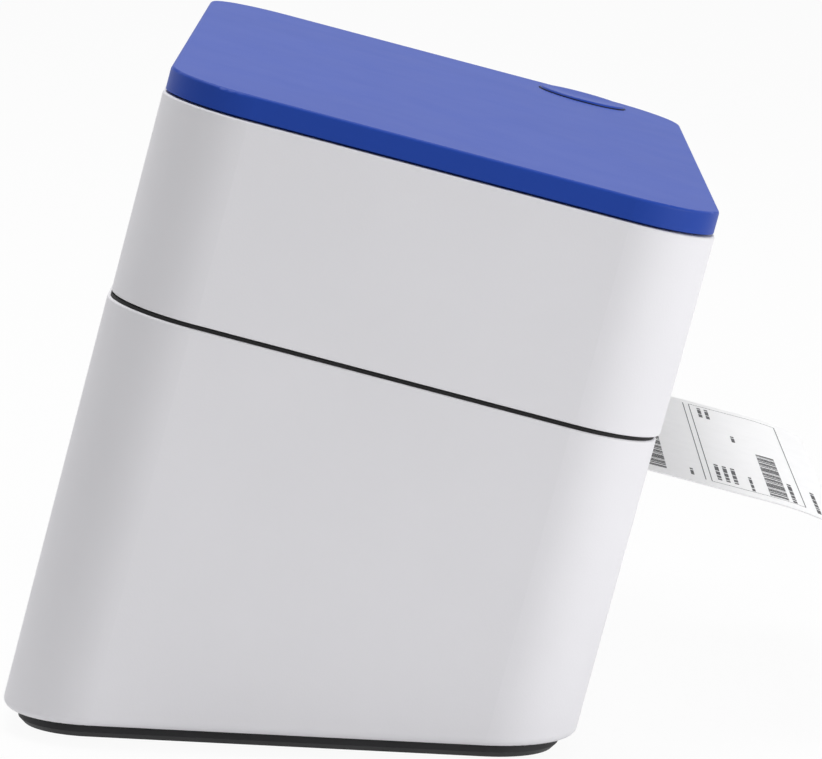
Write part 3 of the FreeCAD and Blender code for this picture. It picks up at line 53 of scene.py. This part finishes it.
# Printed layer: its thickness, and the longest step along the curl, in millimetres of the print
INK_LIFT = 0.00003
INK_STEP = 2.0
# Narrowest printed bar or gap, and the gap between printed words, in millimetres
BAR_UNIT = 0.35
WORD_GAP = 0.9
# Feed button: centre, wall, and the lid's top face
BUTTON = (0.0773, -0.0294)
BUTTON_WALL = 0.0089
LID_TOP = 0.11145
# Dark ring round the button, painted shade for the shadow line at its rim: how far it goes into and out of
# the wall, below and above the lid
SHADE_RING_IN = 0.0001
SHADE_RING_OUT = 0.00012
SHADE_RING_LOW = 0.0012
SHADE_RING_RIM = 0.00016
SHADE_RING_TOP = 0.00022
SHADE_RING_SIDES = 96
# Head springs: centres, middle of the wire's turn, wire, turns, and the seats at both ends
SPRING_X = 0.030
SPRING_Y = -0.0375
SPRING_TURN = 0.0036
SPRING_WIRE = 0.00045
SPRING_COUNT = 6
SPRING_SEATS = (0.0663, 0.0880)
SPRING_STEPS = 36
WIRE_SIDES = 12
# Photograph's camera: turn in radians, place before the printer was set back, and focal length in pixels
CAMERA_TURN = (-0.0011, 0.1501, 0.0503)
CAMERA_PLACE = (-0.9514, -0.01863, 0.19844)
FOCAL_PIXELS = 5029.1
PHOTO_WIDTH = 822
SENSOR_WIDTH = 36.0
# Stage: half the floor's side, the share of it that glows, and the world's light on the object and to the eye
FLOOR_HALF = 6
FLOOR_GLOW = 0.94
WORLD_LIGHT = 0.32
WORLD_SEEN = 0.97
# Point that the lamps are turned to
MIDDLE = (0, 0, 0.06)


def leaned(x, y, z):
    """A point of the leaning case in the row frame."""
    back = y * math.cos(LEAN) - z * math.sin(LEAN) + BACK
    return Vector((x, back, y * math.sin(LEAN) + z * math.cos(LEAN)))


def srgb(red, green, blue):
    """A colour written in 0 to 255, as the shader's linear colour."""
    def linear(value):
        value /= 255
        return value / 12.92 if value <= 0.04045 else ((value + 0.055) / 1.055) ** 2.4

    return (linear(red), linear(green), linear(blue), 1.0)


class Nodes:
    """Builds one material out of nodes."""

    def __init__(self, name, rough, metal=0.0):
        self.material = bpy.data.materials.new(name)
        self.material.use_nodes = True
        self.tree = self.material.node_tree
        self.shader = self.tree.nodes["Principled BSDF"]
        self.shader.inputs["Roughness"].default_value = rough
        self.shader.inputs["Metallic"].default_value = metal
        self.place = self.add("ShaderNodeTexCoord").outputs["Object"]

    def add(self, kind, **settings):
        node = self.tree.nodes.new(kind)
        for key, value in settings.items():
            setattr(node, key, value)
        return node

    def link(self, source, target):
        self.tree.links.new(source, target)

    def noise(self, scale, detail=3.0, stretch=None):
        """Noise with grains of about 1/scale metres, drawn out along an axis where stretch is given."""
        node = self.add("ShaderNodeTexNoise")
        node.inputs["Scale"].default_value = scale
        node.inputs["Detail"].default_value = detail
        place = self.place
        if stretch:
            mapping = self.add("ShaderNodeMapping")
            mapping.inputs["Scale"].default_value = stretch
            self.link(place, mapping.inputs["Vector"])
            place = mapping.outputs["Vector"]
        self.link(place, node.inputs["Vector"])
        return node.outputs["Fac"]

    def ramp(self, fac, low, high, start=0.35, end=0.65):
        node = self.add("ShaderNodeValToRGB")
        node.color_ramp.elements[0].position = start
        node.color_ramp.elements[0].color = low
        node.color_ramp.elements[1].position = end
        node.color_ramp.elements[1].color = high
        self.link(fac, node.inputs["Fac"])
        return node.outputs["Color"]

    def colour(self, fac, low, high):
        self.link(self.ramp(fac, low, high), self.shader.inputs["Base Color"])

    def rough(self, fac, low, high):
        node = self.add("ShaderNodeMapRange")
        node.inputs["From Min"].default_value = 0.3
        node.inputs["From Max"].default_value = 0.7
        node.inputs["To Min"].default_value = low
        node.inputs["To Max"].default_value = high
        self.link(fac, node.inputs["Value"])
        self.link(node.outputs["Result"], self.shader.inputs["Roughness"])

    def bump(self, fac, depth, strength=1.0):
        node = self.add("ShaderNodeBump")
        node.inputs["Distance"].default_value = depth
        node.inputs["Strength"].default_value = strength
        self.link(fac, node.inputs["Height"])
        self.link(node.outputs["Normal"], self.shader.inputs["Normal"])


def moulded(name, tone, rough, grain=1800, depth=0.00003, spread=0.03, gloss=0.5, uneven=0.05):
    """Moulded plastic with a spark-eroded grain, faint flow marks and uneven gloss."""
    made = Nodes(name, rough)
    made.shader.inputs["Specular IOR Level"].default_value = gloss
    low = tuple(part * (1 - spread) for part in tone[:3]) + (1.0,)
    high = tuple(min(1.0, part * (1 + spread)) for part in tone[:3]) + (1.0,)
    made.colour(made.noise(28, 2.0), low, high)
    made.rough(made.noise(90, 2.0), rough - uneven, rough + uneven)
    made.bump(made.noise(grain, 2.0), depth, 0.5)
    return made.material


def metal(name, tone, rough, stretch=None, grain=900, depth=0.00001):
    """Metal with fine lines along the axis that stretch leaves long."""
    made = Nodes(name, rough, 1.0)
    low = tuple(part * 0.88 for part in tone[:3]) + (1.0,)
    fine = made.noise(grain, 4.0, stretch)
    made.colour(fine, low, tone)
    made.rough(fine, rough - 0.06, rough + 0.10)
    made.bump(fine, depth, 0.35)
    return made.material


def rubber(name, tone, grain):
    made = Nodes(name, 0.75)
    high = tuple(part * 1.5 for part in tone[:3]) + (1.0,)
    made.colour(made.noise(grain / 8, 3.0), tone, high)
    made.rough(made.noise(grain / 3, 3.0), 0.66, 0.86)
    made.bump(made.noise(grain, 3.0), 0.00004, 0.6)
    return made.material


def circuit_board(name):
    """Green solder mask with paler tracks under it."""
    made = Nodes(name, 0.32)
    tracks = made.add("ShaderNodeTexBrick", offset=0.37, squash=0.6)
    tracks.inputs["Scale"].default_value = 190
    tracks.inputs["Mortar Size"].default_value = 0.05
    tracks.inputs["Color1"].default_value = srgb(12, 74, 42)
    tracks.inputs["Color2"].default_value = srgb(14, 82, 46)
    tracks.inputs["Mortar"].default_value = srgb(38, 118, 66)
    mapping = made.add("ShaderNodeMapping")
    mapping.inputs["Rotation"].default_value = (math.pi / 2, 0, 0)
    made.link(made.place, mapping.inputs["Vector"])
    made.link(mapping.outputs["Vector"], tracks.inputs["Vector"])
    made.link(tracks.outputs["Color"], made.shader.inputs["Base Color"])
    made.rough(made.noise(400, 2.0), 0.28, 0.4)
    made.bump(tracks.outputs["Fac"], 0.00003, 0.5)
    return made.material


def paper(name):
    """Coated thermal paper: nearly even, with faint fibre clouds."""
    made = Nodes(name, 0.7)
    made.shader.inputs["Specular IOR Level"].default_value = 0.15
    made.colour(made.noise(260, 4.0), srgb(243, 243, 243), srgb(245, 245, 245))
    made.rough(made.noise(1200, 3.0), 0.66, 0.78)
    made.bump(made.noise(3800, 3.0), 0.000008, 0.4)
    return made.material


def ink(name):
    """Heat-developed print, a little uneven along the printed dots."""
    made = Nodes(name, 0.6)
    made.colour(made.noise(5200, 2.0), srgb(22, 22, 24), srgb(58, 58, 62))
    made.rough(made.noise(2600, 2.0), 0.52, 0.66)
    return made.material


WHITE = moulded("white_case", srgb(236, 235, 239), 0.52, 2400, 0.00002, 0.01)
BLUE = moulded("blue_lid", srgb(19, 63, 161), 0.5, 3000, 0.00001, 0.015, 0.25, 0.01)
NAVY = moulded("blue_button", srgb(19, 63, 161), 0.48, 3000, 0.00001, 0.015, 0.25, 0.01)
BLACK = moulded("black_plastic", srgb(32, 32, 34), 0.6, 1700, 0.00003, 0.08, 0.3)
LINING = moulded("dark_lining", srgb(18, 18, 19), 0.62, 1500, 0.00003, 0.08, 0.3)
GREY = moulded("grey_guides", srgb(96, 98, 102), 0.5, 1900, 0.00002, 0.05)
ACETAL = moulded("natural_acetal", srgb(226, 220, 204), 0.38, 1200, 0.00001, 0.03)
CERAMIC = moulded("glazed_ceramic", srgb(222, 214, 196), 0.18, 700, 0.00001, 0.03)
PLATE = metal("folded_plate", srgb(176, 178, 182), 0.38, (1, 0.06, 1))
BRIGHT = metal("turned_steel", srgb(200, 202, 206), 0.24, (1, 0.08, 0.08), 700)
SCREW = metal("zinc_screws", srgb(150, 152, 156), 0.36, None, 1400)
CAN = metal("motor_can", srgb(140, 142, 147), 0.42, (0.08, 1, 1))
BRONZE = metal("sintered_bronze", srgb(172, 136, 84), 0.46, None, 2600)
CAST = metal("finned_aluminium", srgb(196, 198, 202), 0.34, (0.05, 1, 1))
SOFT = rubber("platen_rubber", srgb(34, 34, 35), 1500)
FOOT = rubber("foot_rubber", srgb(28, 28, 29), 900)
BOARD = circuit_board("board_mask")
PAPER = paper("label_paper")
INK = ink("label_print")

FINISH = {
    "lower_case": WHITE, "upper_case": WHITE, "top_lid": BLUE, "feed_button": NAVY,
    "base_plate": BLACK, "rubber_feet": FOOT, "media_deck": LINING, "cover_frame": LINING,
    "left_side_plate": PLATE, "right_side_plate": PLATE, "data_socket": PLATE,
    "platen_bushes": BRONZE, "motor_pinion": BRONZE, "platen_roller": SOFT,
    "platen_shaft": BRIGHT, "idler_stud": BRIGHT, "head_rod": BRIGHT, "hinge_pins": BRIGHT,
    "head_springs": BRIGHT, "tear_bar": BRIGHT, "stepper_motor": CAN, "head_carrier": CAST,
    "platen_gear": ACETAL, "idler_gear": ACETAL, "guide_pinion": ACETAL,
    "left_guide": GREY, "right_guide": GREY, "main_board": BOARD, "button_board": BOARD,
    "print_head": CERAMIC, "label_strip": PAPER,
    "case_screws": SCREW, "deck_screws": SCREW, "cover_screws": SCREW, "board_screws": SCREW,
    "motor_screws": SCREW, "pinion_screw": SCREW,
}
for name, node in nodes.items():
    node.data.materials.clear()
    node.data.materials.append(FINISH.get(name, BLACK))


def join_rings(work, rings, smooth=False):
    """Faces between each ring of points and the next."""
    for first, second in zip(rings, rings[1:]):
        for side in range(len(first)):
            after = (side + 1) % len(first)
            work.faces.new((first[side], first[after], second[after], second[side])).smooth = smooth


def cap_rings(work, rings):
    """Faces that close both ends of a row of rings."""
    work.faces.new(rings[0])
    work.faces.new(rings[-1])


def new_piece(name, work, body, material):
    """A piece out of the finished mesh in work, which rides on a body."""
    bmesh.ops.recalc_face_normals(work, faces=work.faces[:])
    mesh = bpy.data.meshes.new(name)
    work.to_mesh(mesh)
    work.free()
    mesh.materials.append(material)
    piece = bpy.data.objects.new(name, mesh)
    bpy.context.scene.collection.objects.link(piece)
    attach(piece, body)
    return piece


def on_label(x, along, lift):
    """A point on the label's printed face or lift above it, along its length from the case's axis."""
    if along <= LABEL_FLAT:
        return leaned(x, -along, LABEL_TOP + lift)
    turn = (along - LABEL_FLAT) / LABEL_CURL
    reach = LABEL_CURL + lift
    drop = reach * (1 - math.cos(turn))
    return leaned(x, -LABEL_FLAT - reach * math.sin(turn), LABEL_TOP + lift - drop)


def print_marks(name, marks):
    """Printed rectangles as thin closed layers, each as x0, x1, along0, along1 in millimetres."""
    work = bmesh.new()
    for x0, x1, near, far in marks:
        steps = max(1, math.ceil((far - near) / INK_STEP))
        corners = ((x0, 0.0), (x1, 0.0), (x1, INK_LIFT), (x0, INK_LIFT))
        rings = []
        for step in range(steps + 1):
            along = (near + (far - near) * step / steps) / 1000
            rings.append([work.verts.new(on_label(x / 1000, along, lift)) for x, lift in corners])
        join_rings(work, rings)
        cap_rings(work, rings)
    new_piece(name, work, "label", INK)


def frame_marks(x0, x1, near, far, line):
    """The four lines of a printed frame."""
    return [
        (x0, x1, near, near + line),
        (x0, x1, far - line, far),
        (x0, x0 + line, near, far),
        (x1 - line, x1, near, far),
    ]


def bar_marks(x0, x1, near, far):
    """A row of plain bars and gaps of four widths, in a fixed order of no meaning."""
    marks = []
    x = x0
    step = 0
    while x < x1 - 1.6:
        wide = BAR_UNIT * (1 + (step * 7 + step // 3) % 4)
        gap = BAR_UNIT * (1 + (step * 5 + step // 4) % 3)
        marks.append((x, x + wide, near, far))
        x += wide + gap
        step += 1
    return marks


def line_marks(x0, x1, near, far, count):
    """Lines that stand for printed words, cut into short runs."""
    marks = []
    pitch = (far - near) / count
    for line in range(count):
        x = x1
        step = line
        while x > x0 + 1.2:
            long = 1.4 + 1.1 * ((step * 3 + line) % 4)
            start = max(x0, x - long)
            marks.append((start, x, near + line * pitch, near + line * pitch + pitch * 0.5))
            x = start - WORD_GAP
            step += 1
    return marks


print_marks("label_frame", frame_marks(-45.0, 46.6, 64.4, 82.4, 0.16))
print_marks("label_rule", [(-45.0, 46.6, 63.2, 63.36)])
print_marks("label_bars", bar_marks(-43.6, 3.0, 75.6, 79.2))
print_marks("label_small_bars", bar_marks(-44.0, -4.0, 50.5, 55.9))
print_marks("label_words", line_marks(-42.0, -24.0, 65.8, 70.6, 3) + line_marks(32.0, 44.0, 66.0, 69.0, 2))
print_marks("label_notes", [
    *line_marks(-44.0, -29.0, 72.2, 73.4, 1),
    *line_marks(10.0, 17.0, 71.4, 72.8, 1),
    *line_marks(-44.0, -24.0, 80.0, 81.6, 1),
    *line_marks(-44.0, -36.0, 60.6, 61.8, 1),
    *line_marks(-46.0, -24.0, 84.6, 86.2, 1),
])


def head_coils():
    """The two head springs with round wire, built between their seats."""
    low, high = SPRING_SEATS[0] + SPRING_WIRE, SPRING_SEATS[1] - SPRING_WIRE
    count = SPRING_COUNT * SPRING_STEPS
    work = bmesh.new()
    for centre in (-SPRING_X, SPRING_X):
        rings = []
        for step in range(count + 1):
            angle = 2 * math.pi * step / SPRING_STEPS
            ring = []
            for side in range(WIRE_SIDES):
                round_wire = 2 * math.pi * side / WIRE_SIDES
                out = SPRING_TURN + SPRING_WIRE * math.cos(round_wire)
                level = low + (high - low) * (step / count) + SPRING_WIRE * math.sin(round_wire)
                point = leaned(centre + out * math.cos(angle), SPRING_Y + out * math.sin(angle), level)
                ring.append(work.verts.new(point))
            rings.append(ring)
        join_rings(work, rings, smooth=True)
        cap_rings(work, rings)
    piece = new_piece("head_coils", work, "cover", BRIGHT)
    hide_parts("head_springs")
    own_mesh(piece)


def button_shade_ring():
    """A thin dark ring round the button's wall: painted shade, a dark piece that stands for the shadow line
    at its rim.
    """
    inner, outer = BUTTON_WALL - SHADE_RING_IN, BUTTON_WALL + SHADE_RING_OUT
    profile = ((inner, -SHADE_RING_LOW), (outer, -SHADE_RING_LOW), (outer, SHADE_RING_RIM), (inner, SHADE_RING_TOP))
    work = bmesh.new()
    rings = []
    for step in range(SHADE_RING_SIDES):
        angle = 2 * math.pi * step / SHADE_RING_SIDES
        ring = []
        for out, level in profile:
            x, y = BUTTON[0] + out * math.cos(angle), BUTTON[1] + out * math.sin(angle)
            ring.append(work.verts.new(leaned(x, y, LID_TOP + level)))
        rings.append(ring)
    join_rings(work, rings + rings[:1])
    new_piece("button_shade_ring", work, "button", LINING)


head_coils()
button_shade_ring()


def add_camera():
    """The photograph's camera, found by fitting the case's edges in it."""
    yaw, pitch, roll = CAMERA_TURN
    ahead = Vector((math.cos(yaw) * math.cos(pitch), math.sin(yaw) * math.cos(pitch), -math.sin(pitch)))
    level = Vector((math.sin(yaw), -math.cos(yaw), 0))
    above = level.cross(ahead)
    right = level * math.cos(roll) + above * math.sin(roll)
    up = above * math.cos(roll) - level * math.sin(roll)
    data = bpy.data.cameras.new("photo_camera")
    data.sensor_fit = "HORIZONTAL"
    data.sensor_width = SENSOR_WIDTH
    data.lens = SENSOR_WIDTH * FOCAL_PIXELS / PHOTO_WIDTH
    data.clip_end = 20
    camera = bpy.data.objects.new("photo_camera", data)
    bpy.context.scene.collection.objects.link(camera)
    turn = Matrix((right, up, -ahead)).transposed().to_4x4()
    x, y, z = CAMERA_PLACE
    camera.matrix_world = Matrix.Translation((x, y + BACK, z)) @ turn
    bpy.context.scene.camera = camera


def area_light(name, place, size, power):
    """A soft box that faces the printer."""
    data = bpy.data.lights.new(name, "AREA")
    data.shape = "RECTANGLE"
    data.size, data.size_y = size
    data.energy = power
    lamp = bpy.data.objects.new(name, data)
    lamp.location = place
    lamp.rotation_euler = (Vector(MIDDLE) - Vector(place)).to_track_quat("-Z", "Y").to_euler()
    bpy.context.scene.collection.objects.link(lamp)


def seen_white(tree, colour, plain):
    """A shader that shows as near white to the camera and in reflections, and as plain to the light."""
    path = tree.nodes.new("ShaderNodeLightPath")
    either = tree.nodes.new("ShaderNodeMath")
    either.operation = "MAXIMUM"
    tree.links.new(path.outputs["Is Camera Ray"], either.inputs[0])
    tree.links.new(path.outputs["Is Glossy Ray"], either.inputs[1])
    both = tree.nodes.new("ShaderNodeMath")
    both.operation = "MAXIMUM"
    tree.links.new(either.outputs[0], both.inputs[0])
    tree.links.new(path.outputs["Is Transmission Ray"], both.inputs[1])
    mix = tree.nodes.new("ShaderNodeMixShader")
    tree.links.new(both.outputs[0], mix.inputs["Fac"])
    tree.links.new(plain, mix.inputs[1])
    tree.links.new(colour, mix.inputs[2])
    return mix.outputs[0]


def add_stage():
    """A pale floor that takes a soft shadow, and an even white world."""
    mesh = bpy.data.meshes.new("floor")
    far = FLOOR_HALF
    mesh.from_pydata([(-far, -far, 0), (far, -far, 0), (far, far, 0), (-far, far, 0)], [], [(0, 1, 2, 3)])
    floor = bpy.data.objects.new("floor", mesh)
    bpy.context.scene.collection.objects.link(floor)
    material = bpy.data.materials.new("pale_floor")
    material.use_nodes = True
    tree = material.node_tree
    plain = tree.nodes["Principled BSDF"]
    plain.inputs["Base Color"].default_value = (0.86, 0.86, 0.86, 1)
    plain.inputs["Roughness"].default_value = 0.9
    glow = tree.nodes.new("ShaderNodeEmission")
    glow.inputs["Strength"].default_value = 1.0
    lit = tree.nodes.new("ShaderNodeMixShader")
    lit.inputs["Fac"].default_value = FLOOR_GLOW
    tree.links.new(plain.outputs[0], lit.inputs[1])
    tree.links.new(glow.outputs[0], lit.inputs[2])
    surface = tree.nodes["Material Output"].inputs["Surface"]
    tree.links.new(seen_white(tree, lit.outputs[0], plain.outputs[0]), surface)
    mesh.materials.append(material)
    world = bpy.data.worlds.new("studio")
    bpy.context.scene.world = world
    world.use_nodes = True
    tree = world.node_tree
    soft = tree.nodes["Background"]
    soft.inputs["Color"].default_value = (1, 1, 1, 1)
    soft.inputs["Strength"].default_value = WORLD_LIGHT
    white = tree.nodes.new("ShaderNodeBackground")
    white.inputs["Color"].default_value = (WORLD_SEEN, WORLD_SEEN, WORLD_SEEN, 1)
    white.inputs["Strength"].default_value = 1.0
    surface = tree.nodes["World Output"].inputs["Surface"]
    tree.links.new(seen_white(tree, white.outputs[0], soft.outputs[0]), surface)


add_camera()
add_stage()
area_light("front_left_softbox", (-0.66, -1.2, 0.26), (0.9, 0.9), 10.9)
area_light("overhead_softbox", (0.1, 0.14, 1.4), (0.8, 0.6), 11.6)
bpy.context.scene.view_settings.view_transform = "Standard"
